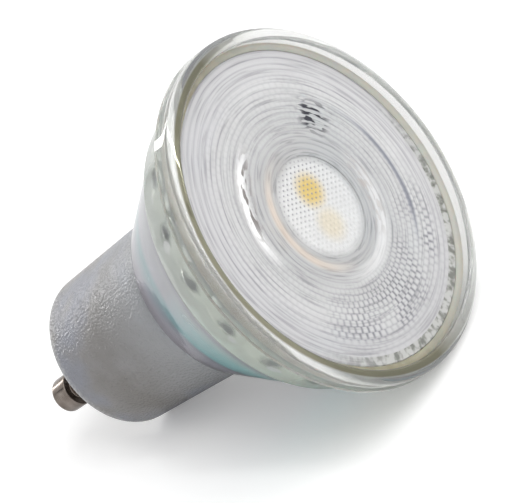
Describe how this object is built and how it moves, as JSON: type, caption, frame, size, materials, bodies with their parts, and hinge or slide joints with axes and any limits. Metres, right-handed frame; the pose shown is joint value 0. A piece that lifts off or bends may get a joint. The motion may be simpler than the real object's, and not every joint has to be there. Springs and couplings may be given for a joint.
{
  "type": "gu10 spotlight bulb",
  "caption": "Clear pressed-glass reflector lamp with a ringed optical lens in its mouth, a tapered grey base and headed twist-lock pins.",
  "frame": {"origin": "midway between the two pins, on the seating face at the back of the base", "axes": "+Z along the lamp's axis towards the lens; +X along the line of the two pins, from the left pin to the right pin; +Y completes the right-handed set"},
  "size_m": [0.05, 0.05, 0.055],
  "materials": {
    "clear_glass": "clear pressed glass, slightly green, fire polished",
    "lens_plastic": "clear moulded optical plastic with ringed and pillowed face",
    "silicone": "translucent olive silicone bead",
    "base_plastic": "grey moulded plastic with a fine leather texture",
    "cement": "pale bonding cement",
    "nickel": "nickel plated brass, turned",
    "spreader_metal": "drawn aluminium sheet",
    "gap_pad": "soft silicone thermal pad",
    "white_mask": "white solder mask on an aluminium board",
    "white_housing": "white moulded package",
    "phosphor": "yellow phosphor in silicone",
    "black_epoxy": "black moulded epoxy",
    "chip_black": "thick film chip resistor",
    "chip_tan": "tan ceramic chip capacitor",
    "laminate": "green glass epoxy laminate",
    "can_sleeve": "dark shrink sleeve over an aluminium can",
    "bung_rubber": "black rubber bung",
    "tinned": "tinned copper lead",
    "ferrite": "dark sintered ferrite",
    "copper": "enamelled copper wire",
    "film_box": "yellow moulded box",
    "lacquer": "grey blue lacquered resistor",
    "lead_sleeve": "white insulated lead"
  },
  "bodies": {
    "root": {"glass_reflector": "clear_glass", "front_lens": "lens_plastic", "lens_seal": "silicone", "base_shell": "base_plastic", "bonding_ring": "cement", "contact_pin_left": "nickel", "contact_pin_right": "nickel", "heat_spreader": "spreader_metal", "thermal_pad": "gap_pad", "light_board": "white_mask", "light_packages": "white_housing", "phosphor_fills": "phosphor", "board_rectifier": "black_epoxy", "board_regulator": "black_epoxy", "board_resistors": "chip_black", "board_capacitors": "chip_tan", "driver_board": "laminate", "capacitor_can": "can_sleeve", "capacitor_bung": "bung_rubber", "capacitor_leads": "tinned", "inductor_core": "ferrite", "inductor_winding": "copper", "bridge_rectifier": "black_epoxy", "mains_capacitor": "film_box", "controller_chip": "black_epoxy", "driver_resistors": "chip_black", "fuse_resistor": "lacquer", "mains_leads": "lead_sleeve", "light_leads": "lead_sleeve"}
  },
  "joints": []
}
